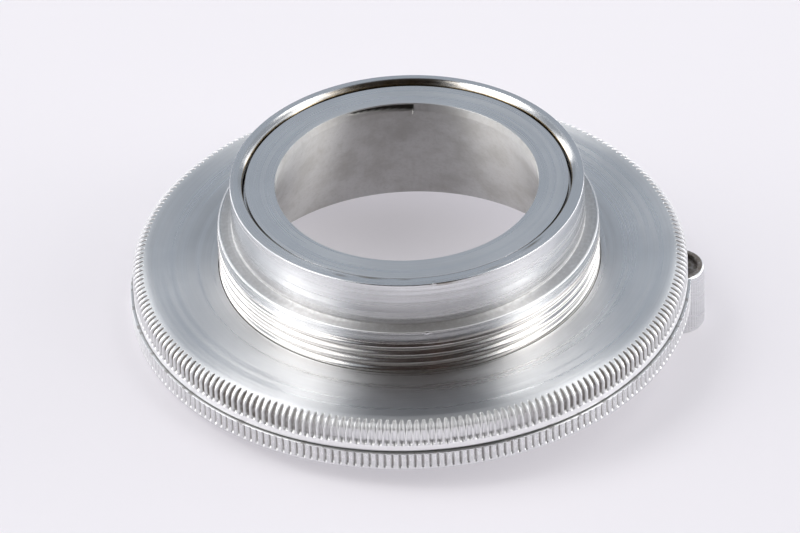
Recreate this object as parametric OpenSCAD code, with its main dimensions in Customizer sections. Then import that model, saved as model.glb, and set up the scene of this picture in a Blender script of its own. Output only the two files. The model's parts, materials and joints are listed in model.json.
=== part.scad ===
// Focusing mount of an enlarger lens: a 39 mm threaded collar on a knurled flange,
// a captive focusing ring below it, and a keyed lens tube that the ring's thread
// drives up and down.  The origin is on the optical axis, in the flange's seating
// face.  +Z points up into the enlarger's lens board.

/* [Threaded collar] */
// Outer radius of the mounting thread
thread_r = 19.5; // [19.3:0.1:19.6]
// Height of the thread's top edge above the seating face
thread_top = 4.1; // [3.8:0.1:4.3]
// Height of the thread's lower end, above its relief
thread_foot = 0.42; // [0.3:0.02:0.6]
// Outer radius of the plain pilot above the thread
pilot_r = 18; // [17.8:0.1:18.1]
// Height of the pilot's rim above the seating face
rim_top = 9.6; // [9.5:0.1:10.2]
// Outer radius of the collar's foot under the flange
foot_r = 22.2; // [22:0.1:22.3]
// Thickness of the collar's foot
foot_t = 0.6; // [0.5:0.05:0.6]

/* [Flange] */
// Outer radius of the flange over its knurl
flange_r = 28.4; // [28.2:0.1:28.6]
// Height of the flange's edge
flange_h = 3.15; // [3.1:0.05:3.2]
// Thickness of the flange's web
web_t = 0.9; // [0.8:0.05:0.9]
// Radius of the pocket under the web
pocket_r = 25; // [24.9:0.1:25.1]

/* [Focusing ring] */
// Outer radius of the focusing ring over its knurl
ring_r = 28.7; // [28.4:0.1:29]
// Height of the focusing ring
ring_h = 2; // [1.9:0.1:2.2]
// Gap between the flange's edge and the focusing ring
ring_gap = 0.2; // [0.15:0.05:0.25]
// Turn of the ring between its stops, in degrees
ring_turn = 120; // [60:5:120]

/* [Finger post] */
// Radius of the finger post
post_r = 2.85; // [2.6:0.05:2.9]
// Distance of the post's centre from the axis
post_at_r = 27.3; // [27:0.1:27.5]
// Direction of the post, in degrees round from +X
post_angle = 2; // [0:1:10]
// Length of the finger post
post_h = 7; // [5:0.1:8]

/* [Lens tube] */
// Radius of the bore's cylindrical seat at the top
seat_r = 13.4; // [12:0.1:13.6]
// Length of the seat
seat_l = 0.7; // [0.4:0.1:1]
// Radius of the tube's sliding wall
tube_r = 16.65; // [16.6:0.01:16.66]
// Height of the tube's top face at rest
tube_top = 9.3; // [9.1:0.1:9.4]
// Radius of the bore's flared mouth
mouth_r = 18.35; // [18:0.05:18.4]
// Depth of the tube's bottom face below the seating face
mouth_z = -5.7; // [-5.8:0.05:-5.6]

/* [Hidden] */
$fn = 128;
eps = 0.02;             // play of a part that is screwed or pressed in place
edge = 0.15;            // broken edges

// Collar
collar_bore_r = 16.73;
bell_bore_r = 18.05;    // wider bore that the tube's bell moves in
bell_bore_top = 2.4;
ridge_z = 4.75;         // small ridge above the thread
ridge_r = 18.8;
undercut_r = 17.35;
undercut_z = 5.05;
undercut_top = 5.35;
felt_top = 7.65;        // groove of the felt seal
felt_bottom = 6.35;
felt_r = 17.3;
register_r = thread_r - 0.05;
relief_r = thread_r - 0.3;   // relief at the thread's lower end
foot_z = -web_t - foot_t;

// Flange
hole_relief_r = thread_r + 0.2;
hole_relief_t = 0.45;
face_edge_w = 1.9;      // width and height of the rounding between face and knurl
face_edge_h = 1.3;

// Screws and pins
screw_r = 0.6;
screw_head_r = 0.95;
screw_head_t = 0.35;
screw_slot_w = 0.25;
screw_slot_t = 0.18;
collar_screw_at = 20.9;
collar_screw_l = 1.25;
collar_screw_angles = [0, 90, 180, 270];
ring_screw_at = 21.5;
ring_screw_l = 1.9;
ring_screw_angles = [47, 137, 227, 317];
stop_pin_r = 0.55;
stop_pin_at = 26.2;
stop_pin_angle = 180;
stop_play = 0.1;
stop_pin_top = -1.9;
stop_pin_bottom = -4.15;
stop_slot_bottom = -4.3;
lock_screw_r = 0.45;
lock_screw_top = -2.5;
lock_screw_angles = [60, 240];
spanner_hole_r = 0.4;
spanner_hole_at = 23.9;

// Guide keys: a pad let into the collar's foot and a leg that hangs in the tube's slot
key_w = 2.5;
key_in = 19;
key_out = 20;
key_pad_out = 21.9;
key_pad_z = -web_t - eps;
key_bottom = -5.3;
key_angles = [45, 225];
key_screw_at = 21.05;
key_screw_l = 1.25;
slot_in = 18.9;
slot_play = 0.05;

// Drive sleeve and what holds it
drive_r = 20.2;
drive_play = 0.07;
sleeve_r = 22.8;
lip_r = 24.4;
sleeve_top = foot_z - 0.15;
lip_bottom = sleeve_top - 0.8;
sleeve_bottom = -4.8;
retainer_r = sleeve_r + 0.07;
retainer_top = lip_bottom - 0.05;
washer_in = 22.6;
washer_out = 24.6;
glide_bottom = sleeve_top + 0.03;
glide_t = 0.25;
wave_t = 0.2;
wave_count = 3;
wave_steps = 90;
wave_mid = (-web_t + glide_bottom + glide_t) / 2;
wave_amp = (-web_t - glide_bottom - glide_t - wave_t) / 2 - eps;

// Focusing ring
ring_top = -flange_h - ring_gap;
ring_bottom = ring_top - ring_h;
ledge_z = sleeve_bottom - eps;
ledge_in = drive_r + 0.2;
ring_washer_in = 25.3;
ring_washer_out = 27.5;

// Finger post
post_top = ring_top - 0.05;
post_recess_r = 2.15;
post_recess_t = 0.55;
post_hole_r = 1.25;
post_hole_t = 3;
wedge_r = 1.2;
wedge_t = 1.6;
post_pin_r = 0.45;
post_pin_top = -3.9;

// Lens tube
tube_neck_r = 16.45;
tube_neck_z = 8.5;
bell_top = 2.2;
bell_r = 17.85;
bell_bottom = -1.1;
tube_edge = 0.3;
thread_skirt_r = drive_r - drive_play;
seat_z = tube_top - tube_edge - seat_l;

// A plain ring between two heights
module ring(r_out, r_in, z_top, z_bottom) {
  translate([0, 0, z_bottom])
    difference() {
      cylinder(r = r_out, h = z_top - z_bottom);
      translate([0, 0, -1]) cylinder(r = r_in, h = z_top - z_bottom + 2);
    }
}

// A countersunk screw with its slotted head down at z = 0 and its shank up
module screw_up(length) {
  difference() {
    union() {
      cylinder(r1 = screw_head_r, r2 = screw_r, h = screw_head_t);
      cylinder(r = screw_r, h = length);
    }
    translate([-screw_head_r - 1, -screw_slot_w / 2, -1])
      cube([2 * screw_head_r + 2, screw_slot_w, 1 + screw_slot_t]);
  }
}

// The hole that such a screw sits in
module screw_hole_up(length) {
  translate([0, 0, -1]) cylinder(r = screw_head_r + eps, h = 1);
  cylinder(r1 = screw_head_r + eps, r2 = screw_r + eps, h = screw_head_t);
  cylinder(r = screw_r + eps, h = length + eps);
}

// Places children at a radius, once for each angle
module round_at(r, angles) {
  for (a = angles) rotate([0, 0, a]) translate([r, 0, 0]) children();
}

// A pad with a leg: shape of a guide key, grown sideways by play
module key_shape(play, leg_bottom) {
  half = key_w / 2 + play;
  translate([key_in, -half, foot_z])
    cube([key_pad_out - key_in, 2 * half, key_pad_z - foot_z]);
  translate([key_in, -half, leg_bottom])
    cube([key_out - key_in, 2 * half, foot_z - leg_bottom + eps]);
}

module mount_collar() {
  color("silver")
    difference() {
      rotate_extrude()
        polygon([
          [collar_bore_r + edge, rim_top],
          [pilot_r - edge, rim_top],
          [pilot_r, rim_top - edge],
          [pilot_r, undercut_top],
          [undercut_r, undercut_z],
          [ridge_r, ridge_z],
          [thread_r, thread_top],
          [thread_r, thread_foot],
          [relief_r, thread_foot],
          [relief_r, -hole_relief_t],
          [register_r, -hole_relief_t],
          [register_r, -web_t],
          [foot_r, -web_t],
          [foot_r, foot_z],
          [bell_bore_r, foot_z],
          [bell_bore_r, bell_bore_top - 1],
          [collar_bore_r, bell_bore_top],
          [collar_bore_r, felt_bottom],
          [felt_r, felt_bottom],
          [felt_r, felt_top],
          [collar_bore_r, felt_top],
          [collar_bore_r, rim_top - edge],
        ]);
      round_at(collar_screw_at, collar_screw_angles)
        translate([0, 0, foot_z]) screw_hole_up(collar_screw_l);
      for (a = key_angles)
        rotate([0, 0, a])
          translate([key_in - eps, -key_w / 2 - eps, foot_z - 1])
            cube([key_pad_out - key_in + 2 * eps, key_w + 2 * eps, key_pad_z - foot_z + 1 + 2 * eps]);
    }
}

module mount_flange() {
  color("silver")
    difference() {
      rotate_extrude()
        polygon([
          [hole_relief_r, 0],
          for (i = [0:6]) [flange_r - face_edge_w + face_edge_w * sin(i * 15),
                           -face_edge_h + face_edge_h * cos(i * 15)],
          [flange_r, -flange_h + edge],
          [flange_r - edge, -flange_h],
          [pocket_r, -flange_h],
          [pocket_r, -web_t],
          [thread_r + eps, -web_t],
          [thread_r + eps, -hole_relief_t],
          [hole_relief_r, -hole_relief_t],
        ]);
      round_at(collar_screw_at, collar_screw_angles)
        translate([0, 0, foot_z]) screw_hole_up(collar_screw_l);
      round_at(key_screw_at, key_angles)
        translate([0, 0, foot_z]) screw_hole_up(key_screw_l);
      round_at(pocket_r, lock_screw_angles)
        translate([0, 0, -flange_h - 1])
          cylinder(r = lock_screw_r + eps, h = lock_screw_top + flange_h + 1 + eps);
      round_at(stop_pin_at, [stop_pin_angle])
        translate([0, 0, -flange_h - 1])
          cylinder(r = stop_pin_r + eps, h = stop_pin_top + flange_h + 1 + eps);
    }
}

module collar_screws() {
  color("dimgray")
    round_at(collar_screw_at, collar_screw_angles)
      translate([0, 0, foot_z]) screw_up(collar_screw_l);
}

module felt_seal() {
  color("black")
    ring(felt_r - 0.03, tube_r + 0.02, felt_top - 0.03, felt_bottom + 0.03);
}

module guide_key(angle) {
  color("goldenrod")
    rotate([0, 0, angle])
      difference() {
        key_shape(0, key_bottom);
        translate([key_screw_at, 0, foot_z]) screw_hole_up(key_screw_l);
      }
}

module guide_key_left() {
  guide_key(key_angles[1]);
}

module guide_key_right() {
  guide_key(key_angles[0]);
}

module guide_key_screws() {
  color("dimgray")
    round_at(key_screw_at, key_angles)
      translate([0, 0, foot_z]) screw_up(key_screw_l);
}

// Height of the wavy washer's middle at step i
function wave_z(i) = wave_mid + wave_amp * cos(360 * wave_count * i / wave_steps);

// Corner k of its section at step i: 0 and 1 are inside, 2 and 3 outside
function wave_point(i, k) =
  let (a = 360 * i / wave_steps, r = k < 2 ? washer_in : washer_out,
       up = (k == 1 || k == 2) ? 1 : -1)
  [r * cos(a), r * sin(a), wave_z(i) + up * wave_t / 2];

module wave_washer() {
  color("lightsteelblue")
    polyhedron(
      points = [for (i = [0:wave_steps - 1]) for (k = [0:3]) wave_point(i, k)],
      faces = [for (i = [0:wave_steps - 1]) for (k = [0:3]) for (half = [0, 1])
        let (j = (i + 1) % wave_steps, m = (k + 1) % 4)
        half == 0 ? [4 * i + k, 4 * i + m, 4 * j + m] : [4 * i + k, 4 * j + m, 4 * j + k]]);
}

module glide_washer() {
  color("saddlebrown")
    ring(washer_out, washer_in, glide_bottom + glide_t, glide_bottom);
}

module retaining_ring() {
  color("gray")
    difference() {
      ring(pocket_r - eps, retainer_r, retainer_top, -flange_h);
      round_at(spanner_hole_at, [0, 180])
        translate([0, 0, -flange_h - 1]) cylinder(r = spanner_hole_r, h = 2);
      round_at(pocket_r, lock_screw_angles)
        translate([0, 0, -flange_h - 1])
          cylinder(r = lock_screw_r + eps, h = lock_screw_top + flange_h + 1 + eps);
    }
}

module retainer_lock_screws() {
  color("dimgray")
    round_at(pocket_r, lock_screw_angles)
      difference() {
        translate([0, 0, -flange_h])
          cylinder(r = lock_screw_r, h = lock_screw_top + flange_h - eps);
        translate([-1, -screw_slot_w / 2, -flange_h - 1])
          cube([2, screw_slot_w, 1 + screw_slot_t]);
      }
}

module stop_pin() {
  color("dimgray")
    round_at(stop_pin_at, [stop_pin_angle])
      translate([0, 0, stop_pin_bottom])
        cylinder(r = stop_pin_r, h = stop_pin_top - stop_pin_bottom);
}

module ring_washer() {
  color("black")
    difference() {
      ring(ring_washer_out, ring_washer_in, -flange_h - eps, ring_top + eps);
      round_at(stop_pin_at, [stop_pin_angle])
        translate([0, 0, ring_top - 1]) cylinder(r = stop_pin_r + 0.05, h = 2);
    }
}

module focus_ring() {
  slot_half = stop_pin_r + stop_play;
  color("silver")
    difference() {
      rotate_extrude()
        polygon([
          [sleeve_r + eps, ring_top],
          [ring_r - edge, ring_top],
          [ring_r, ring_top - edge],
          [ring_r, ring_bottom + edge],
          [ring_r - edge, ring_bottom],
          [ledge_in, ring_bottom],
          [ledge_in, ledge_z],
          [sleeve_r + eps, ledge_z],
        ]);
      round_at(post_at_r, [post_angle])
        translate([0, 0, ring_bottom - 1]) cylinder(r = post_r + eps, h = ring_h + 2);
      round_at(post_at_r - post_r, [post_angle])
        translate([0, 0, ring_bottom - 1])
          cylinder(r = post_pin_r + eps, h = post_pin_top - ring_bottom + 1 + eps);
      round_at(ring_screw_at, ring_screw_angles)
        translate([0, 0, ring_bottom]) screw_hole_up(ring_screw_l);
      rotate([0, 0, stop_pin_angle - ring_turn])
        rotate_extrude(angle = ring_turn)
          translate([stop_pin_at - slot_half, stop_slot_bottom])
            square([2 * slot_half, ring_top - stop_slot_bottom + 1]);
      round_at(stop_pin_at, [stop_pin_angle - ring_turn, stop_pin_angle])
        translate([0, 0, stop_slot_bottom])
          cylinder(r = slot_half, h = ring_top - stop_slot_bottom + 1);
    }
}

module drive_sleeve() {
  color("goldenrod")
    difference() {
      union() {
        ring(lip_r, drive_r, sleeve_top, lip_bottom);
        ring(sleeve_r, drive_r, lip_bottom, sleeve_bottom);
      }
      round_at(ring_screw_at, ring_screw_angles)
        translate([0, 0, ring_bottom]) screw_hole_up(ring_screw_l);
    }
}

module focus_ring_screws() {
  color("dimgray")
    round_at(ring_screw_at, ring_screw_angles)
      translate([0, 0, ring_bottom]) screw_up(ring_screw_l);
}

module finger_post() {
  color("silver")
    difference() {
      round_at(post_at_r, [post_angle])
        translate([0, 0, post_top - post_h])
          rotate_extrude()
            polygon([
              [0, 0],
              [post_r - 2 * edge, 0],
              [post_r, 2 * edge],
              [post_r, post_h - 2 * edge],
              [post_r - 2 * edge, post_h],
              [post_recess_r + edge, post_h],
              [post_recess_r, post_h - edge],
              [post_recess_r, post_h - post_recess_t],
              [post_hole_r, post_h - post_recess_t],
              [post_hole_r, post_h - post_hole_t],
              [0, post_h - post_hole_t],
            ]);
      round_at(post_at_r - post_r, [post_angle])
        translate([0, 0, ring_bottom - 1])
          cylinder(r = post_pin_r + eps, h = post_pin_top - ring_bottom + 1 + eps);
    }
}

module post_wedge_screw() {
  color("dimgray")
    round_at(post_at_r, [post_angle])
      translate([0, 0, post_top - post_recess_t - wedge_t])
        difference() {
          cylinder(r = wedge_r, h = wedge_t);
          translate([-2, -screw_slot_w, wedge_t - 0.5]) cube([4, 2 * screw_slot_w, 1]);
        }
}

module post_pin() {
  color("dimgray")
    round_at(post_at_r - post_r, [post_angle])
      translate([0, 0, ring_bottom]) cylinder(r = post_pin_r, h = post_pin_top - ring_bottom);
}

module lens_tube() {
  color("silver")
    difference() {
      rotate_extrude()
        polygon([
          for (i = [0:6]) [seat_r + tube_edge - tube_edge * cos(i * 15),
                           tube_top - tube_edge + tube_edge * sin(i * 15)],
          [tube_neck_r, tube_top],
          [tube_neck_r, tube_neck_z],
          [tube_r, tube_neck_z],
          [tube_r, bell_top],
          [bell_r, bell_bottom],
          [bell_r, sleeve_top],
          [thread_skirt_r, sleeve_top],
          [thread_skirt_r, mouth_z + edge],
          [thread_skirt_r - edge, mouth_z],
          [mouth_r, mouth_z],
          [seat_r, seat_z],
        ]);
      for (a = key_angles)
        rotate([0, 0, a])
          translate([slot_in, -key_w / 2 - slot_play, mouth_z - 1])
            cube([thread_skirt_r, key_w + 2 * slot_play, sleeve_top - mouth_z + 2]);
    }
}

mount_collar();
mount_flange();
collar_screws();
felt_seal();
guide_key_left();
guide_key_right();
guide_key_screws();
wave_washer();
glide_washer();
retaining_ring();
retainer_lock_screws();
stop_pin();
ring_washer();
focus_ring();
drive_sleeve();
focus_ring_screws();
finger_post();
post_wedge_screw();
post_pin();
lens_tube();
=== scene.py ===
"""Looks of the enlarger lens focusing mount: turned and knurled bare aluminium on a pale table."""
import json
import math

import bpy
import numpy as np
from mathutils import Euler, Matrix, Vector


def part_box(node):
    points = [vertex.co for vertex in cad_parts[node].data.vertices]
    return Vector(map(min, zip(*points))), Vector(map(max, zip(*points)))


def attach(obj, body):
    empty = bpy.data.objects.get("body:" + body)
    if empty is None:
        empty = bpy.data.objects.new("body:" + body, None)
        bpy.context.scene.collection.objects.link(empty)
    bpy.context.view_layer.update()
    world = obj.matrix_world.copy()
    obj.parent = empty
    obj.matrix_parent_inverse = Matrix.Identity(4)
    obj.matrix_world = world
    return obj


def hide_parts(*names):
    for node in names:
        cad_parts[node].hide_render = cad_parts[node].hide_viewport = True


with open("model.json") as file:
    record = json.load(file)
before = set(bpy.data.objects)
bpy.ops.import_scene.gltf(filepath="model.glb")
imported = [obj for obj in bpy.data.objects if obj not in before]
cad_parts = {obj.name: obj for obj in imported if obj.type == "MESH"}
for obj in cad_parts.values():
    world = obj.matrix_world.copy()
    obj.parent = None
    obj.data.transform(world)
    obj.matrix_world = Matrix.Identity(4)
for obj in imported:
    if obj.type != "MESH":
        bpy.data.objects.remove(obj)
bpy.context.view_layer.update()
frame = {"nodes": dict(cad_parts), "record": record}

MM = 0.001
TAU = 2 * math.pi


# ---------------------------------------------------------------- sizes, in mm
def top_of(node):
    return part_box(node)[1].z / MM


def bottom_of(node):
    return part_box(node)[0].z / MM


def radius_of(node):
    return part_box(node)[1].y / MM


MOUNTS = {m["name"]: m for m in frame["record"]["mounts"]}
THREAD_R = MOUNTS["mounting_thread"]["dims"]["r_mm"]
PILOT_R = MOUNTS["pilot"]["dims"]["r_mm"]
SEAT_R = MOUNTS["lens_seat"]["dims"]["r_mm"]
SEAT_L = MOUNTS["lens_seat"]["dims"]["length_mm"]
RIM_TOP = top_of("mount_collar")
FOOT_Z = bottom_of("mount_collar")
FOOT_R = radius_of("mount_collar")
FLANGE_R = radius_of("mount_flange")
FLANGE_BOTTOM = bottom_of("mount_flange")
RING_R = radius_of("focus_ring")
RING_TOP = top_of("focus_ring")
RING_BOTTOM = bottom_of("focus_ring")
TUBE_TOP = top_of("lens_tube")
TUBE_BOTTOM = bottom_of("lens_tube")
SKIRT_R = radius_of("lens_tube")
SKIRT_TOP = top_of("drive_sleeve")
SLEEVE_BOTTOM = bottom_of("drive_sleeve")
POST_LOW, POST_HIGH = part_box("finger_post")
POST_X = (POST_LOW.x + POST_HIGH.x) / 2 / MM
POST_Y = (POST_LOW.y + POST_HIGH.y) / 2 / MM
POST_R = (POST_HIGH.y - POST_LOW.y) / 2 / MM
POST_TOP = POST_HIGH.z / MM
POST_BOTTOM = POST_LOW.z / MM
POST_H = POST_TOP - POST_BOTTOM

PITCH = 25.4 / 26          # mounting thread
THREAD_DEPTH = 0.36
THREAD_START = 0.44 / PITCH + 0.25    # how far the helix is set round, in turns
THREAD_END = 3.5           # where the thread has run out below the ridge
RIDGE_R = 19.42            # the ridge between the thread and the shelf
SHELF_Z = 4.66             # the shelf round the foot of the pilot
COLLAR_BORE_R = 16.73
BELL_R = 18.05             # the collar's wider bore, round the tube's skirt
FELT_GROOVE = (17.3, 6.35, 7.65)      # its radius, bottom and top
WORN_FOOT = 8.9            # the rim's wear ends at this height
WORN_R = 17.45             # and starts at this radius
WORN_WIDTH = 0.7
WORN_DEPTH = 0.5
NICK_AT = 277.5            # a small nick in the rim's outer edge, in degrees
RIM_MARKS = (              # brown rubs on the rim: degrees, width, radius, its width, strength
    (256, 4, 16.95, 0.1, 0.8), (268, 2.2, 17.0, 0.08, 0.6), (281, 4, 17.97, 0.06, 1.0),
    (316, 4, 17.15, 0.12, 0.8), (246, 2, 17.3, 0.15, 0.5), (298, 3, 17.6, 0.12, 0.4),
)
TEETH = 236                # straight knurl of both rings
TOOTH_COLUMNS = 18         # mesh columns of each tooth
GROOVE_POWER = 2.6         # how flat the grooves' bottoms are
BURR = 0.018               # raised lips of the knurl's grooves
FLANGE_SHARE = 0.82        # the groove's share of the pitch
FLANGE_KNURL_R = 26.6      # the flange's knurl starts outside this radius
FLANGE_KNURL_END = 2.52    # and ends this far below the face
FACE_EDGE = (1.9, 1.3)     # width and height of the flange's rounding
FACE_DISH = 0.22           # how far the seating face sinks towards the thread
DISH_R = 25.4              # the radius at which it starts to
FLANGE_LIP = 0.07          # how far the flange's edge hangs below its underside
GROOVE_HIGHLIGHT_AT = 272             # the middle of the stretch where the knurl's grooves are darkened less and get a painted highlight, in degrees
RING_SHARE = 0.56
RING_KNURL_DEPTH = 0.16
RING_SCREW_AT = 21.5       # the ring's four countersunk screws, from below
RING_SCREW_ANGLES = (47, 137, 227, 317)
SCREW_HEAD_R = 0.98
SCREW_HEAD_H = 0.35
SEAT_RUNOUT = (85.8, 117)  # where the groove in the tube's seat ends and begins, in degrees
POST_RIBS = 52
POST_RIB_DEPTH = 0.035
POST_HOLE_R = 2.15
COLLAR_COLUMNS = 900
TUBE_COLUMNS = 720
ROD_COLUMNS = 64
SHARP_ANGLE = math.radians(35)


# ---------------------------------------------------------------- mesh tools
def shade_smooth(mesh):
    mesh.polygons.foreach_set("use_smooth", np.ones(len(mesh.polygons), bool))
    mesh.set_sharp_from_angle(angle=SHARP_ANGLE)


def mesh_piece(name, verts, quads, attributes):
    """A smooth-shaded mesh object from vertices in mm and quads, with attributes for its points."""
    mesh = bpy.data.meshes.new(name)
    mesh.vertices.add(len(verts))
    mesh.vertices.foreach_set("co", (np.asarray(verts, np.float64) * MM).astype(np.float32).ravel())
    mesh.loops.add(quads.size)
    mesh.loops.foreach_set("vertex_index", quads.ravel().astype(np.int32))
    mesh.polygons.add(len(quads))
    mesh.polygons.foreach_set("loop_start", np.arange(0, quads.size, quads.shape[1], dtype=np.int32))
    mesh.polygons.foreach_set("loop_total", np.full(len(quads), quads.shape[1], np.int32))
    mesh.update(calc_edges=True)
    for key, values in attributes.items():
        layer = mesh.attributes.new(key, "FLOAT", "POINT")
        layer.data.foreach_set("value", np.asarray(values, np.float32).ravel())
    shade_smooth(mesh)
    mesh.validate()
    piece = bpy.data.objects.new(name, mesh)
    bpy.context.scene.collection.objects.link(piece)
    return piece


def rounded(points, steps=4):
    """A closed (r, z) outline from (r, z, corner radius) points, each corner an arc."""
    out = []
    count = len(points)
    for i, (r, z, radius) in enumerate(points):
        here = np.array([r, z])
        before = np.array(points[i - 1][:2]) - here
        after = np.array(points[(i + 1) % count][:2]) - here
        if radius <= 0:
            out.append(here)
            continue
        u = before / np.linalg.norm(before)
        v = after / np.linalg.norm(after)
        half = math.acos(max(-1, min(1, float(u @ v)))) / 2
        reach = min(radius / math.tan(half), 0.48 * np.linalg.norm(before), 0.48 * np.linalg.norm(after))
        radius = reach * math.tan(half)
        centre = here + (u + v) / np.linalg.norm(u + v) * radius / math.sin(half)
        start = here + u * reach - centre
        end = here + v * reach - centre
        sweep = math.pi - 2 * half
        for k in range(steps + 1):
            t = k / steps
            arm = start * math.sin((1 - t) * sweep) + end * math.sin(t * sweep)
            out.append(centre + arm / math.sin(sweep))
    return np.array(out)


def subdivided(outline, longest):
    """The outline with its long stretches cut into steps no longer than longest(midpoint)."""
    out = []
    for i, here in enumerate(outline):
        after = outline[(i + 1) % len(outline)]
        length = np.linalg.norm(after - here)
        n = max(1, math.ceil(length / longest(*((here + after) / 2))))
        out += [here + (after - here) * k / n for k in range(n)]
    return np.array(out)


def revolve(name, outline, columns, shape):
    """Turns a closed outline, anticlockwise in (r, z), round the axis.
    shape(r, z, a) moves the points: it returns their new r and z, and point attributes."""
    a = np.arange(columns) * TAU / columns
    r = np.repeat(outline[:, :1], columns, 1)
    z = np.repeat(outline[:, 1:], columns, 1)
    angle = np.repeat(a[None, :], len(outline), 0)
    r, z, attributes = shape(r, z, angle)
    verts = np.stack([r * np.cos(angle), r * np.sin(angle), z], 2).reshape(-1, 3)
    row = np.arange(len(outline))[:, None]
    column = np.arange(columns)[None, :]
    next_row = (row + 1) % len(outline)
    next_column = (column + 1) % columns
    quads = np.stack([row * columns + column, row * columns + next_column,
                      next_row * columns + next_column, next_row * columns + column], 2).reshape(-1, 4)
    return mesh_piece(name, verts, quads, attributes)


def smooth_step(x, low, high):
    """0 below low, 1 above high, and a soft step between."""
    t = np.clip((x - low) / (high - low), 0, 1)
    return t * t * (3 - 2 * t)


def bell(x, middle, width):
    return np.exp(-((x - middle) / width) ** 2)


def waves(angle, seed, count, lowest, highest):
    """A repeatable uneven line round the circle, mostly from -1 to 1."""
    rng = np.random.default_rng(seed)
    total = np.zeros_like(angle)
    for k in rng.integers(lowest, highest, count):
        total += np.sin(k * angle + rng.uniform(0, TAU)) / count ** 0.5
    return total


# ---------------------------------------------------------------- pieces
def collar_outline():
    foot_top = FOOT_Z + 0.6
    felt_r, felt_low, felt_high = FELT_GROOVE
    outline = rounded([
        (COLLAR_BORE_R, 2.4, 0.05), (BELL_R, 1.4, 0.05), (BELL_R, FOOT_Z, 0.05),
        (FOOT_R, FOOT_Z, 0.08), (FOOT_R, foot_top, 0.08), (THREAD_R - 0.02, foot_top, 0),
        (THREAD_R - 0.02, -0.4, 0), (THREAD_R, -0.3, 0.03), (THREAD_R, THREAD_END - 0.04, 0.06),
        (RIDGE_R - 0.08, THREAD_END + 0.02, 0.03), (RIDGE_R, THREAD_END + 0.16, 0.08),
        (RIDGE_R, SHELF_Z, 0.09), (RIDGE_R - 0.16, SHELF_Z + 0.04, 0.05),
        (RIDGE_R - 0.24, SHELF_Z - 0.02, 0.03), (PILOT_R + 0.4, SHELF_Z, 0.2),
        (PILOT_R, SHELF_Z + 0.08, 0.12), (PILOT_R, RIM_TOP, 0.08),
        (COLLAR_BORE_R + 0.03, RIM_TOP, 0.03), (COLLAR_BORE_R + 0.01, 9.0, 0),
        (COLLAR_BORE_R, felt_high, 0), (felt_r, felt_high, 0),
        (felt_r, felt_low, 0), (COLLAR_BORE_R, felt_low, 0),
    ])

    def longest(r, z):
        thread_side = r > 17.3 and -0.5 < z < 5.4
        rim_side = r < 17.6 and z > 8.6
        return 0.05 if thread_side else 0.07 if rim_side else 0.3

    return subdivided(outline, longest)


def collar_shape(r, z, a):
    """Cuts the helical thread, roughens the shelf, dents the ridge, and wears and nicks the rim; it also
    paints a highlight along the ridge's edge.
    """
    degrees = np.degrees(a)
    groove = (0.5 + 0.5 * np.cos(TAU * (z / PITCH - a / TAU - THREAD_START))) ** 1.5
    run_in = smooth_step(z, -0.25, 0) * (1 - smooth_step(z, THREAD_END - 0.4, THREAD_END))
    on_thread = (r > THREAD_R - 0.1) & (z > -0.36) & (z < THREAD_END + 0.1)
    depth = np.where(on_thread, THREAD_DEPTH * groove * run_in, 0)
    above_thread = (r > PILOT_R - 0.1) * (z > SHELF_Z - 0.16) * (1 - smooth_step(z, 4.85, 5.1))
    shelf = (1 - smooth_step(r, RIDGE_R - 0.26, RIDGE_R - 0.18)) * above_thread
    rough = 0.003 * (waves(a, 5, 16, 60, 300) + waves(a + r, 6, 14, 60, 300))
    dents = np.clip(waves(a, 7, 12, 20, 140) - 1.2, 0, 1)
    dents = dents * bell(z, SHELF_Z + 0.02, 0.12) * (r > RIDGE_R - 0.22)
    # painted highlight: a near-white line along the ridge's rounded edge
    ridge_highlight = 0.7 * bell(z, SHELF_Z + 0.03, 0.03) * (r > RIDGE_R - 0.18)
    nick = bell(a, math.radians(NICK_AT), 0.012) * (z > RIM_TOP - 0.25)
    r = r - depth - 0.07 * dents
    z = z + shelf * rough
    r = r - 0.12 * nick * (r > 17.6)
    marks = sum(strength * bell(degrees, at, wide) * bell(r, radius, thick)
                for at, wide, radius, thick, strength in RIM_MARKS) * (z > RIM_TOP - 0.3)
    worn = smooth_step(np.sin(a), -0.3, 0.35) * (0.9 + 0.1 * waves(a, 8, 6, 3, 14))
    slope = worn * np.clip((WORN_R - r) / WORN_WIDTH, 0, 1) * (z > WORN_FOOT) * (r < WORN_R + 0.05)
    z = z - WORN_DEPTH * slope ** 1.3 * np.clip((z - WORN_FOOT) / (RIM_TOP - WORN_FOOT), 0, 1)
    grime_and_shade = 0.75 * (depth / THREAD_DEPTH) ** 2 + 0.75 * shelf + ((z < -0.2) & (z > -1))
    bore_edge = (r < 16.85) * (z > 8.2)
    patina = smooth_step(slope, 0.05, 0.3) * (0.2 + 0.8 * bell(degrees, 95, 30)) + bore_edge + marks
    return r, z, {"grime_and_shade": grime_and_shade, "patina": patina, "lip_highlight": ridge_highlight}


def per_tooth(a, seed, size):
    """A repeatable difference from tooth to tooth."""
    tooth = np.floor(a * TEETH / TAU + 0.5).astype(int) % TEETH
    return np.random.default_rng(seed).normal(0, size, TEETH)[tooth]


def knurl(r, a, surface, share, depth, lift, burr):
    """A straight knurl: flat-bottomed grooves, share of the pitch wide, lifted out of the
    metal by lift, with a burr on both lips.  Also how deep each point lies, and its lips, which get a
    painted highlight."""
    phase = np.abs((a * TEETH / TAU + 0.5) % 1 - 0.5)
    inside = np.clip(1 - phase / (share / 2), 0, 1)
    cut = depth * (1 - (1 - inside) ** GROOVE_POWER) - lift
    floor = surface - cut
    hit = (cut > 0) & (floor < r)
    needed = np.clip((surface - r + lift) / depth, 0, 1)
    half = share / 2 * (1 - needed) ** (1 / GROOVE_POWER)
    lip_highlight = bell(phase, half, 0.05) * (needed < 0.999)
    deep = np.where(hit, np.clip((r - floor) / np.minimum(depth, 0.3), 0, 1), 0)
    return np.where(hit, floor, r) + burr * lip_highlight * (r > surface - 0.9), deep, lip_highlight


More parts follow.
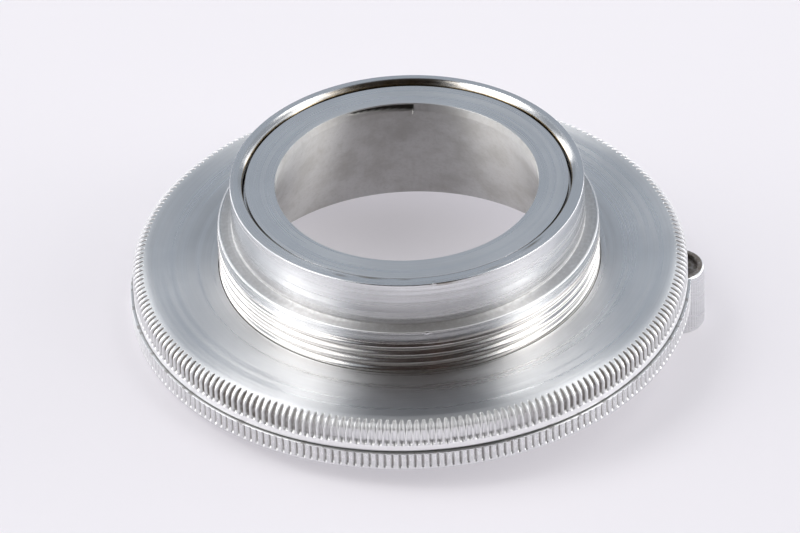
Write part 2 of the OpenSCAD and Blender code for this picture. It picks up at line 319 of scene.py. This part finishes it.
def flange_shape(r, z, a):
    """The knurl and the dished face, where they hold dirt or are worn, and where painted shade and
    painted highlight go.
    """
    hit = (r > FLANGE_KNURL_R) & (z > FLANGE_BOTTOM + 0.12) & (z < -0.05)
    end = FLANGE_KNURL_END + per_tooth(a, 11, 0.03)
    depth = 0.4 + 0.75 * smooth_step(z, -1.0, -0.1) + per_tooth(a, 12, 0.012)
    lift = depth * np.clip((-z - end + 0.45) / 0.45, 0, 1) ** 2
    cut, deep, lip_highlight = knurl(r, a, FLANGE_R - BURR, FLANGE_SHARE, depth, lift, BURR)
    # painted highlight: near white on the plain strip below the knurl and in the grooves round the front,
    # where the grooves are also darkened less
    highlight_band = (z < -end + 0.02) & (z > FLANGE_BOTTOM + 0.08) & (r > 28)
    groove_highlight = bell(np.degrees(a), GROOVE_HIGHLIGHT_AT, 26)
    grime_and_shade = np.where(hit, (1.1 - 0.6 * groove_highlight) * deep, 0) + ((r < THREAD_R + 0.12) & (z < -0.04))
    face = z > -0.04
    z = z - FACE_DISH * np.clip((DISH_R - r) / (DISH_R - 0.1 - THREAD_R), 0, 1) ** 1.5 * face
    looks = {
        "grime_and_shade": grime_and_shade,
        # painted shade: the underside of the flange's hanging edge, over the gap to the ring, is near
        # black
        "painted_shade": z < FLANGE_BOTTOM - FLANGE_LIP + 0.01,
        "lip_highlight": np.where(hit, lip_highlight, 0),
        "worn": smooth_step(r, FLANGE_KNURL_R, FLANGE_KNURL_R + 0.6) * (z > FLANGE_BOTTOM + 0.1),
        "painted_highlight": np.maximum(highlight_band, 0.8 * groove_highlight * (deep > 0.05) * hit),
    }
    return np.where(hit, cut, r), z, looks


def screw_sink(r, a):
    """How deep the countersinks of the ring's screws are at each point of its underside."""
    x, y = r * np.cos(a), r * np.sin(a)
    angles = [math.radians(degrees) for degrees in RING_SCREW_ANGLES]
    away = [np.hypot(x - RING_SCREW_AT * math.cos(at), y - RING_SCREW_AT * math.sin(at)) for at in angles]
    return np.clip(SCREW_HEAD_R - np.minimum.reduce(away), 0, SCREW_HEAD_H)


def ring_shape(r, z, a):
    """The shallower knurl of the lower ring, its countersinks, its dirt, and painted shade on its top
    face.
    """
    sink = np.where(z < RING_BOTTOM + 0.01, screw_sink(r, a), 0)
    hit = (r > 27.4) & (z < RING_TOP - 0.02) & (z > RING_BOTTOM + 0.05)
    a = a + 0.35 * TAU / TEETH
    end = -RING_BOTTOM - 0.16 + per_tooth(a, 21, 0.03)
    depth = RING_KNURL_DEPTH + per_tooth(a, 22, 0.015)
    lift = depth * np.sin(math.pi / 2 * np.clip((-z - end + 0.3) / 0.3, 0, 1))
    lift = lift + depth * 0.6 * smooth_step(z, RING_TOP - 0.2, RING_TOP - 0.02)
    lift = np.minimum(lift, depth)
    cut, deep, lip_highlight = knurl(r, a, RING_R - BURR, RING_SHARE, depth, lift, 0.7 * BURR)
    blots = np.clip(0.5 + 0.5 * waves(a, 23, 9, 20, 240), 0, 1)
    above = 0.8 * smooth_step(z, RING_TOP - 0.22, RING_TOP - 0.06) * blots
    looks = {
        "grime_and_shade": np.maximum(np.where(hit, 0.85 * deep, 0), above * (r > 27)),
        # painted shade: the ring's top face under the flange, seen as the gap between the rings, is near
        # black
        "painted_shade": (z > RING_TOP - 0.02) & (r < FLANGE_R - 0.05),
        "lip_highlight": np.where(hit, lip_highlight, 0),
    }
    return np.where(hit, cut, r), z + sink, looks


def make_collar():
    piece = revolve("collar", collar_outline(), COLLAR_COLUMNS, collar_shape)
    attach(piece, "mount")
    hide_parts("mount_collar")
    return piece


def make_flange():
    wide, high = FACE_EDGE
    radius = FLANGE_R - BURR
    face_edge = [(radius - wide + wide * math.cos(t * TAU / 64), -high + high * math.sin(t * TAU / 64), 0)
                 for t in range(17)]
    outline = rounded([
        (THREAD_R + 0.07, 0, 0.03), (THREAD_R + 0.07, -1.0, 0), (25, -1.0, 0.1),
        (25, FLANGE_BOTTOM, 0.1), (27.8, FLANGE_BOTTOM, 0), (27.82, FLANGE_BOTTOM - FLANGE_LIP, 0),
        (radius, FLANGE_BOTTOM - FLANGE_LIP, 0.03), *face_edge,
    ], 5)
    outline = subdivided(outline, lambda r, z: 0.08 if r > FLANGE_KNURL_R else 0.4)
    piece = revolve("flange", outline, TEETH * TOOTH_COLUMNS, flange_shape)
    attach(piece, "mount")
    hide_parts("mount_flange")
    return piece


def cut_away(piece, cutter):
    """Takes the cutter out of the piece for good."""
    cut = piece.modifiers.new("cut", "BOOLEAN")
    cut.object = cutter
    cut.solver = "EXACT"
    bpy.context.view_layer.update()
    evaluated = piece.evaluated_get(bpy.context.evaluated_depsgraph_get())
    piece.data = bpy.data.meshes.new_from_object(evaluated)
    piece.modifiers.clear()
    bpy.data.objects.remove(cutter)
    shade_smooth(piece.data)


def rod(name, radius, bottom, top, x, y):
    """A closed round bar standing at (x, y), used as a cutter."""
    columns = ROD_COLUMNS
    a = np.arange(columns) * TAU / columns
    ring = np.stack([x + radius * np.cos(a), y + radius * np.sin(a)], 1)
    mesh = bpy.data.meshes.new(name)
    verts = [(*p, bottom) for p in ring] + [(*p, top) for p in ring]
    faces = [[i, (i + 1) % columns, (i + 1) % columns + columns, i + columns] for i in range(columns)]
    faces += [list(range(columns))[::-1], list(range(columns, 2 * columns))]
    mesh.from_pydata([[c * MM for c in v] for v in verts], [], faces)
    piece = bpy.data.objects.new(name, mesh)
    bpy.context.scene.collection.objects.link(piece)
    return piece


def make_ring():
    inner = 22.82
    ledge = 20.4
    radius = RING_R - BURR
    past_screws = RING_SCREW_AT + SCREW_HEAD_R + 0.1
    outline = rounded([
        (inner, RING_TOP, 0.08), (inner, SLEEVE_BOTTOM, 0), (ledge, SLEEVE_BOTTOM, 0.05),
        (ledge, RING_BOTTOM, 0.1), (past_screws, RING_BOTTOM, 0), (radius, RING_BOTTOM, 0.14),
        (radius, RING_TOP, 0.05),
    ], 5)

    def longest(r, z):
        near_screws = z < RING_BOTTOM + 0.01 and r < past_screws
        return 0.1 if r > 28 else 0.07 if near_screws else 0.8

    outline = subdivided(outline, longest)
    piece = revolve("knurled_ring", outline, TEETH * TOOTH_COLUMNS, ring_shape)
    cut_away(piece, rod("cut_post", POST_R + 0.02, RING_BOTTOM - 1, RING_TOP + 1, POST_X, POST_Y))
    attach(piece, "focus")
    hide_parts("focus_ring")
    return piece


def tube_shape(r, z, a):
    """The run-out of a groove in the seat at the back, with painted shade in its recess."""
    degrees = np.degrees(a)
    end, begin = SEAT_RUNOUT
    deep = np.clip((begin - degrees) / 31, 0, 1) * smooth_step(degrees, end - 0.4, end + 0.4)
    high = smooth_step(z, 9.0 - 0.85 * deep, 9.06 - 0.6 * deep) * (1 - smooth_step(z, 9.1, 9.14))
    recess = high * smooth_step(deep, 0, 0.2) * (r < SEAT_R + 0.6)
    # painted shade: the recess is coloured near black
    return r + 0.5 * recess * (0.3 + 0.7 * deep), z, {"painted_shade": smooth_step(recess, 0.2, 0.8)}


def make_tube():
    mouth = 18.35
    neck = 17.85
    barrel = 16.65
    crown = 16.45
    outline = rounded([
        (SEAT_R, TUBE_TOP, 0.05), (SEAT_R, TUBE_TOP - 0.3 - SEAT_L, 0.1), (mouth, TUBE_BOTTOM, 0.12),
        (SKIRT_R, TUBE_BOTTOM, 0.15), (SKIRT_R, SKIRT_TOP, 0.1), (neck, SKIRT_TOP, 0),
        (neck, -1.1, 0), (barrel, 2.2, 0), (barrel, 8.5, 0.05), (crown, 8.5, 0),
        (crown, TUBE_TOP, 0.03),
    ], 6)
    outline = subdivided(outline, lambda r, z: 0.08 if r < SEAT_R + 0.3 and z > 8 else 0.5)
    piece = revolve("sliding_tube", outline, TUBE_COLUMNS, tube_shape)
    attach(piece, "tube")
    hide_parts("lens_tube")
    return piece


def in_bore(r, z):
    """Where the tube is matt: all down its flared bore, but not on its top face."""
    return (z < TUBE_TOP - 0.001) & (r < SEAT_R + 0.7 + (8.3 - z) * 0.36)


def make_post():
    outline = [
        (0.01, 0, 0), (POST_R, 0, 0.3), (POST_R, POST_H, 0.32), (POST_HOLE_R, POST_H, 0.12),
        (POST_HOLE_R, POST_H - 0.55, 0.05), (1.25, POST_H - 0.6, 0.05), (1.25, POST_H - 3, 0.1),
        (0.01, POST_H - 3, 0),
    ]
    outline = subdivided(rounded(outline, 5), lambda r, z: 0.15 if r > 2.7 else 0.5)

    def shape(r, z, a):
        wall = (r > 2.6) & (z > 0.25) & (z < POST_H - 0.2)
        groove = (0.5 + 0.5 * np.cos(POST_RIBS * a)) ** 2
        fade = smooth_step(z, 0.25, 0.5) * (1 - smooth_step(z, POST_H - 0.55, POST_H - 0.3))
        depth = np.where(wall, POST_RIB_DEPTH * groove * fade, 0)
        # painted shade: the post's top face and the inside of its hole are coloured dark at full strength
        top = (z > POST_H - 0.1) & (r < POST_R - 0.2) | (z > POST_H - 1) & (r < POST_HOLE_R + 0.05)
        return r - depth, z, {"grime_and_shade": np.maximum(depth / POST_RIB_DEPTH * 0.5, top)}

    piece = revolve("post", outline, POST_RIBS * 8, shape)
    piece.location = (POST_X * MM, POST_Y * MM, POST_BOTTOM * MM)
    bpy.context.view_layer.update()
    piece.data.transform(piece.matrix_world)
    piece.matrix_world = Matrix.Identity(4)
    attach(piece, "focus")
    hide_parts("finger_post")
    return piece


# ---------------------------------------------------------------- materials
BARE = (0.79, 0.795, 0.805)            # clean aluminium
THREAD_METAL = (0.72, 0.7, 0.68)
BRIGHT = (0.96, 0.96, 0.965, 1)        # near white: edges rubbed by use, and painted highlights on the collar's ridge, the knurls' lips, the flange's plain strip and its front grooves
# dirt colour, also used as painted shade on the post's top
DIRT_AND_SHADE = (0.14, 0.115, 0.095, 1)
# near black: caked dirt, and painted shade in the gap between the rings and in the seat's recess
BLACK_DIRT_AND_SHADE = (0.025, 0.02, 0.016, 1)
GOLDEN = ((0.24, 0.18, 0.1, 1), (0.14, 0.105, 0.06, 1))    # patina, light and dark
SPREAD = 0.25                          # anisotropic rotation: highlights spread across the turning lines


class Nodes:
    """A short way to write a node tree."""

    def __init__(self, tree):
        self.tree = tree
        tree.nodes.clear()

    def add(self, kind, inputs=None, **settings):
        node = self.tree.nodes.new(kind)
        for key, value in settings.items():
            setattr(node, key, value)
        for key, value in (inputs or {}).items():
            if isinstance(value, bpy.types.NodeSocket):
                self.tree.links.new(value, node.inputs[key])
            else:
                node.inputs[key].default_value = value
        return node

    def math(self, operation, a, b=0.0, clamp=False):
        return self.add("ShaderNodeMath", {0: a, 1: b}, operation=operation, use_clamp=clamp).outputs[0]

    def mix(self, factor, a, b):
        return self.add("ShaderNodeMix", {0: factor, 6: a, 7: b}, data_type="RGBA").outputs[2]

    def blend(self, factor, a, b):
        return self.add("ShaderNodeMix", {0: factor, 2: a, 3: b}, data_type="FLOAT").outputs[0]

    def point(self, attribute):
        return self.add("ShaderNodeAttribute", attribute_name=attribute).outputs["Fac"]

    def ramp(self, value, low, high, start=0.0, end=1.0):
        return self.add("ShaderNodeMapRange", {0: value, 1: low, 2: high, 3: start, 4: end},
                        interpolation_type="SMOOTHSTEP").outputs[0]

    def noise(self, vector, scale, detail, roughness=0.5):
        return self.add("ShaderNodeTexNoise", {"Vector": vector, "Scale": scale, "Detail": detail,
                                               "Roughness": roughness}).outputs["Fac"]


def turned_coordinates(n, along, across):
    """Object coordinates in mm, and coordinates in which noise becomes lines round the axis:
    slow along them, fast across."""
    place = n.add("ShaderNodeTexCoord").outputs["Object"]
    mm = n.add("ShaderNodeVectorMath", {0: place, "Scale": 1 / MM}, operation="SCALE").outputs[0]
    parts = n.add("ShaderNodeSeparateXYZ", {0: mm})
    flat = n.add("ShaderNodeCombineXYZ", {0: parts.outputs[0], 1: parts.outputs[1]}).outputs[0]
    radius = n.add("ShaderNodeVectorMath", {0: flat}, operation="LENGTH").outputs["Value"]
    around = n.add("ShaderNodeVectorMath", {0: flat}, operation="NORMALIZE").outputs[0]
    around = n.add("ShaderNodeVectorMath", {0: around, "Scale": along}, operation="SCALE").outputs[0]
    line = n.add("ShaderNodeMath", {0: parts.outputs[2], 1: 1.7, 2: radius}, operation="MULTIPLY_ADD")
    line = n.math("MULTIPLY", line.outputs[0], across)
    up = n.add("ShaderNodeCombineXYZ", {2: line}).outputs[0]
    return mm, n.add("ShaderNodeVectorMath", {0: around, 1: up}, operation="ADD").outputs[0]


def turned_metal(name, colour, roughness, anisotropy):
    """Bare turned aluminium with tool lines round the axis, smudges and dirt in its grooves, painted
    shade in gaps and on the post's top, and painted highlights on edges and grooves.
    """
    material = bpy.data.materials.new(name)
    material.use_nodes = True
    n = Nodes(material.node_tree)
    mm, lines = turned_coordinates(n, 1.2, 9.0)
    fine = n.noise(lines, 1.0, 6, 0.7)
    broad = n.noise(mm, 0.12, 3, 0.6)
    coarse = n.noise(turned_coordinates(n, 0.5, 1.9)[1], 1.0, 1, 0.5)
    speckle = n.noise(mm, 2.2, 5, 0.65)
    grime_and_shade = n.point("grime_and_shade")
    lip_highlight = n.point("lip_highlight")
    painted_shade = n.point("painted_shade")
    patina = n.point("patina")
    worn = n.point("worn")
    red, green, blue = colour

    tone = n.mix(n.ramp(broad, 0.35, 0.7), (*[c * 0.93 for c in colour], 1), (*colour, 1))
    fine_lines = n.math("MULTIPLY", n.ramp(fine, 0.35, 0.75), 0.22)
    tone = n.mix(fine_lines, tone, (red * 0.72, green * 0.72, blue * 0.74, 1))
    coarse_lines = n.math("MULTIPLY", n.ramp(coarse, 0.35, 0.75), 0.16)
    tone = n.mix(coarse_lines, tone, (red * 0.7, green * 0.69, blue * 0.68, 1))

    # dirt in grooves and joints, and painted shade: near black in the gap between the rings, dark on the
    # post's top
    dirt_and_shade_mask = n.ramp(grime_and_shade, 0.55, 1.0)
    specks = n.ramp(speckle, 0.25, 0.6, 0.55, 0.95)
    dirt_and_shade_mask = n.math("MULTIPLY", dirt_and_shade_mask, specks, clamp=True)
    dirt_and_shade_mask = n.math("MAXIMUM", dirt_and_shade_mask, painted_shade)
    caked = n.ramp(n.noise(mm, 1.3, 4, 0.6), 0.58, 0.66)
    dirt_and_shade_colour = n.mix(n.math("MAXIMUM", n.math("MULTIPLY", caked, 0.8), painted_shade), DIRT_AND_SHADE, BLACK_DIRT_AND_SHADE)
    tone = n.mix(dirt_and_shade_mask, tone, dirt_and_shade_colour)

    golden = n.ramp(n.noise(mm, 0.35, 3, 0.6), 0.3, 0.6, 0.75, 1.0)
    golden = n.math("MULTIPLY", patina, golden, clamp=True)
    tone = n.mix(golden, tone, n.mix(n.ramp(speckle, 0.4, 0.6), *GOLDEN))
    # painted highlight: the knurls' lips, partly rubbed by use, and the collar's ridge edge are coloured
    # near white
    tone = n.mix(n.math("MULTIPLY", lip_highlight, 1.1, clamp=True), tone, BRIGHT)
    # painted highlight on the flange's plain strip and its front grooves
    tone = n.mix(n.point("painted_highlight"), tone, BRIGHT)

    rough = n.math("ADD", n.math("MULTIPLY", fine, 0.14), roughness - 0.14)
    rough = n.math("ADD", n.math("MULTIPLY", n.ramp(coarse, 0.3, 0.7), 0.16), rough)
    dull = n.math("MAXIMUM", dirt_and_shade_mask, n.math("MULTIPLY", worn, 0.3))
    rough = n.blend(n.math("MAXIMUM", dull, lip_highlight), rough, 0.7)
    dull = n.math("MAXIMUM", n.math("MULTIPLY", dull, 0.8), n.math("MULTIPLY", lip_highlight, 0.6))
    metallic = n.blend(n.math("MAXIMUM", dirt_and_shade_mask, dull), 1.0, 0.25)

    height = n.math("ADD", fine, n.math("MULTIPLY", coarse, 0.5))
    bump = n.add("ShaderNodeBump", {"Strength": 0.25, "Distance": 0.00002, "Height": height}).outputs[0]
    tangent = n.add("ShaderNodeTangent", direction_type="RADIAL", axis="Z").outputs[0]
    shader = n.add("ShaderNodeBsdfPrincipled", {
        "Base Color": tone, "Metallic": metallic, "Roughness": rough, "Normal": bump,
        "Anisotropic": anisotropy, "Anisotropic Rotation": SPREAD, "Tangent": tangent})
    n.add("ShaderNodeOutputMaterial", {"Surface": shader.outputs[0]})
    return material


def matt_metal(name):
    """The tube's bore: cast aluminium gone matt and blotchy, with vertical draw lines."""
    material = bpy.data.materials.new(name)
    material.use_nodes = True
    n = Nodes(material.node_tree)
    mm, lines = turned_coordinates(n, 30.0, 0.5)
    blotch = n.noise(mm, 0.25, 4, 0.6)
    grain = n.noise(mm, 3.0, 4, 0.6)
    streak = n.noise(lines, 1.0, 3, 0.5)
    painted_shade = n.point("painted_shade")
    tone = n.mix(n.ramp(blotch, 0.38, 0.68), (0.7, 0.695, 0.69, 1), (0.58, 0.57, 0.555, 1))
    tone = n.mix(n.math("MULTIPLY", n.ramp(grain, 0.45, 0.75), 0.25), tone, (0.45, 0.44, 0.42, 1))
    tone = n.mix(n.math("MULTIPLY", n.ramp(streak, 0.5, 0.7), 0.15), tone, (0.5, 0.48, 0.44, 1))
    # painted shade: near black in the seat's recess
    tone = n.mix(painted_shade, tone, (0.03, 0.027, 0.02, 1))
    rough = n.math("ADD", n.math("MULTIPLY", blotch, 0.1), 0.46)
    bump = n.add("ShaderNodeBump", {"Strength": 0.25, "Distance": 0.00003, "Height": grain}).outputs[0]
    tangent = n.add("ShaderNodeTangent", direction_type="RADIAL", axis="Z").outputs[0]
    shader = n.add("ShaderNodeBsdfPrincipled", {
        "Base Color": tone, "Metallic": n.blend(painted_shade, 0.9, 0.0), "Roughness": rough, "Normal": bump,
        "Anisotropic": 0.97, "Anisotropic Rotation": SPREAD, "Tangent": tangent})
    n.add("ShaderNodeOutputMaterial", {"Surface": shader.outputs[0]})
    return material


def plain_metal(name, colour, roughness, grain=1.5, metallic=1.0):
    """Small inner metal parts: rolled or blackened, slightly mottled."""
    material = bpy.data.materials.new(name)
    material.use_nodes = True
    n = Nodes(material.node_tree)
    mm = turned_coordinates(n, 1.0, 6.0)[0]
    mottle = n.noise(mm, grain, 5, 0.6)
    tone = n.mix(n.ramp(mottle, 0.3, 0.7), (*[c * 0.7 for c in colour], 1), (*colour, 1))
    rough = n.math("ADD", n.math("MULTIPLY", mottle, 0.2), roughness - 0.1)
    bump = n.add("ShaderNodeBump", {"Strength": 0.3, "Distance": 0.00002, "Height": mottle}).outputs[0]
    shader = n.add("ShaderNodeBsdfPrincipled", {
        "Base Color": tone, "Roughness": rough, "Normal": bump, "Metallic": metallic})
    n.add("ShaderNodeOutputMaterial", {"Surface": shader.outputs[0]})
    return material


def dress(piece, material):
    piece.data.materials.clear()
    piece.data.materials.append(material)


def dress_where(piece, chosen, material):
    """Gives a second material to the faces that chosen(r, z) picks by their centres, in mm."""
    piece.data.materials.append(material)
    centres = np.empty(len(piece.data.polygons) * 3, np.float32)
    piece.data.polygons.foreach_get("center", centres)
    x, y, z = (centres / MM).reshape(-1, 3).T
    indices = np.where(chosen(np.hypot(x, y), z), 1, 0).astype(np.int32)
    piece.data.polygons.foreach_set("material_index", indices)


# ---------------------------------------------------------------- stage
TILT = math.atan((RING_BOTTOM - POST_BOTTOM) / (POST_X + POST_R + RING_R))
TABLE_HALF = 3.0           # in metres
TABLE_GAP = 0.02           # keeps the table's face off the ring's edge


def floor_material():
    """White acrylic table top that glows a little where it is shaded, clear when seen from below."""
    material = bpy.data.materials.new("table")
    material.use_nodes = True
    n = Nodes(material.node_tree)
    place = n.add("ShaderNodeTexCoord").outputs["Object"]
    cloud = n.noise(place, 9.0, 2)
    tone = n.mix(cloud, (0.865, 0.84, 0.885, 1), (0.88, 0.855, 0.9, 1))
    matt = n.add("ShaderNodeBsdfDiffuse", {"Color": n.mix(0.4, tone, (0, 0, 0, 1))}).outputs[0]
    glow = n.add("ShaderNodeEmission", {"Color": tone, "Strength": 0.4}).outputs[0]
    matt = n.add("ShaderNodeAddShader", {0: matt, 1: glow}).outputs[0]
    clear = n.add("ShaderNodeBsdfTransparent").outputs[0]
    back = n.add("ShaderNodeNewGeometry").outputs["Backfacing"]
    surface = n.add("ShaderNodeMixShader", {0: back, 1: matt, 2: clear}).outputs[0]
    n.add("ShaderNodeOutputMaterial", {"Surface": surface})
    return material


def make_floor():
    """The table: it touches the ring's left edge and the post's foot, so it leans to the part."""
    half = TABLE_HALF
    mesh = bpy.data.meshes.new("table")
    corners = [(-half, -half, 0), (half, -half, 0), (half, half, 0), (-half, half, 0)]
    mesh.from_pydata(corners, [], [(0, 1, 2, 3)])
    floor = bpy.data.objects.new("table", mesh)
    bpy.context.scene.collection.objects.link(floor)
    floor.rotation_euler = Euler((0, TILT, 0))
    drop = RING_BOTTOM - RING_R * math.tan(TILT) - TABLE_GAP
    floor.location = (0, 0, drop * MM)
    dress(floor, floor_material())


CAMERA_AIM = Vector((-1.03, -1.0, -0.8)) * MM
CAMERA_DISTANCE = 0.817
CAMERA_ELEVATION = math.radians(37.08)
CAMERA_ROLL = math.radians(2.25)
CAMERA_LENS = 360


def make_camera():
    data = bpy.data.cameras.new("camera")
    camera = bpy.data.objects.new("camera", data)
    bpy.context.scene.collection.objects.link(camera)
    data.sensor_width = 36
    data.lens = CAMERA_LENS
    back = Vector((0, -math.cos(CAMERA_ELEVATION), math.sin(CAMERA_ELEVATION)))
    camera.location = CAMERA_AIM + back * CAMERA_DISTANCE
    turn = (-back).to_track_quat("-Z", "Y").to_matrix() @ Matrix.Rotation(-CAMERA_ROLL, 3, "Z")
    camera.rotation_mode = "QUATERNION"
    camera.rotation_quaternion = turn.to_quaternion()
    data.clip_start, data.clip_end = 0.05, 20
    bpy.context.scene.camera = camera


BACKDROP = (0.86, 0.85, 0.89, 1)       # what the camera itself sees
STUDIO_BACK = (0.40, 0.44, 0.495)
STUDIO = (                             # azimuth from, to, height from, to, softness in degrees, light
    (-400, 400, 72, 100, 10, (0.08, 0.075, 0.075)),
    (-40, 52, -100, 75, 6, (0.03, 0.024, 0.022)),
    (10, 19, -100, 75, 6, (0.062, 0.04, 0.034)),
    (-17, -10, -100, 75, 6, (0.045, 0.03, 0.027)),
    (-146, -84, -25, 26, 8, (3.7, 3.7, 3.7)),
    (76, 140, -25, 22, 6, (3.4, 3.4, 3.4)),
    (-130, -60, 50, 72, 6, (4.2, 4.2, 4.2)),
    (76, 125, 50, 70, 6, (3.3, 3.3, 3.3)),
    (-88, -52, 8, 56, 5, (2.1, 2.07, 2.03)),
    (58, 82, 8, 56, 5, (2.3, 2.27, 2.22)),
    (-92, -74, 8, 56, 5, (3.4, 3.37, 3.3)),
    (70, 86, 8, 56, 5, (3.4, 3.37, 3.3)),
)


def make_light():
    """A white room: soft boxes to the left and right, a pale back, a dark ceiling and front side.
    Azimuth 0 is the front, -Y, and positive towards +X.  Later patches cover earlier ones."""
    world = bpy.data.worlds.new("studio")
    bpy.context.scene.world = world
    world.use_nodes = True
    n = Nodes(world.node_tree)
    way = n.add("ShaderNodeTexCoord").outputs["Generated"]
    parts = n.add("ShaderNodeSeparateXYZ", {0: way})
    front = n.math("MULTIPLY", parts.outputs[1], -1.0)
    azimuth = n.math("MULTIPLY", n.math("ARCTAN2", parts.outputs[0], front), 180 / math.pi)
    height = n.math("MULTIPLY", n.math("ARCSINE", parts.outputs[2]), 180 / math.pi)

    def window(value, low, high, soft):
        up = n.ramp(value, low - soft / 2, low + soft / 2)
        down = n.ramp(value, high - soft / 2, high + soft / 2, 1.0, 0.0)
        return n.math("MULTIPLY", up, down)

    light = (*STUDIO_BACK, 1)
    for az_low, az_high, low, high, soft, colour in STUDIO:
        column = window(azimuth, az_low, az_high, soft)
        area = n.math("MULTIPLY", column, window(height, low, high, soft))
        light = n.mix(area, light, (*colour, 1))
    shine = n.add("ShaderNodeBackground", {"Color": light, "Strength": 1.0}).outputs[0]
    seen = n.add("ShaderNodeBackground", {"Color": BACKDROP, "Strength": 1.0}).outputs[0]
    camera_ray = n.add("ShaderNodeLightPath").outputs["Is Camera Ray"]
    surface = n.add("ShaderNodeMixShader", {0: camera_ray, 1: shine, 2: seen}).outputs[0]
    n.add("ShaderNodeOutputWorld", {"Surface": surface})
    world.cycles.sampling_method = "MANUAL"
    world.cycles.sample_map_resolution = 1024


# ---------------------------------------------------------------- assembly
make_camera()
collar = make_collar()
flange = make_flange()
ring = make_ring()
tube = make_tube()
post = make_post()

dress(collar, turned_metal("collar_metal", BARE, 0.2, 0.85))
dress_where(collar, lambda r, z: (z < THREAD_END) & (r > THREAD_R - 0.5),
            turned_metal("thread_metal", THREAD_METAL, 0.22, 0.2))
dress(flange, turned_metal("flange_metal", BARE, 0.33, 0.95))
dress_where(flange, lambda r, z: (z < -0.3) & (r > 26), turned_metal("knurl_metal", BARE, 0.27, 0.1))
dress(ring, turned_metal("ring_metal", BARE, 0.3, 0.3))
dress(tube, turned_metal("tube_metal", BARE, 0.3, 0.5))
dress_where(tube, in_bore, matt_metal("tube_bore_metal"))
dress(post, turned_metal("post_metal", BARE, 0.32, 0.2))

SLOT_LOOKS = {
    "turned_aluminium": plain_metal("inner_aluminium", (0.7, 0.71, 0.72), 0.35),
    "knurled_aluminium": plain_metal("inner_knurled", (0.7, 0.71, 0.72), 0.35),
    "brass": plain_metal("sleeve_brass", (0.72, 0.53, 0.25), 0.3),
    "bronze": plain_metal("washer_bronze", (0.5, 0.32, 0.18), 0.35),
    "spring_steel": plain_metal("washer_steel", (0.45, 0.47, 0.5), 0.3),
    "screw_steel": plain_metal("screw_steel", (0.12, 0.12, 0.125), 0.35),
    "fibre": plain_metal("black_fibre", (0.02, 0.02, 0.022), 0.7, 3.0, 0.0),
    "felt": plain_metal("black_felt", (0.018, 0.018, 0.018), 0.95, 6.0, 0.0),
}
for part in frame["record"]["subparts"]:    # the five replaced nodes are hidden, so theirs don't show
    dress(frame["nodes"][part["node"]], SLOT_LOOKS[part["material_slot"]])

make_floor()
make_light()
bpy.context.scene.view_settings.view_transform = "Standard"
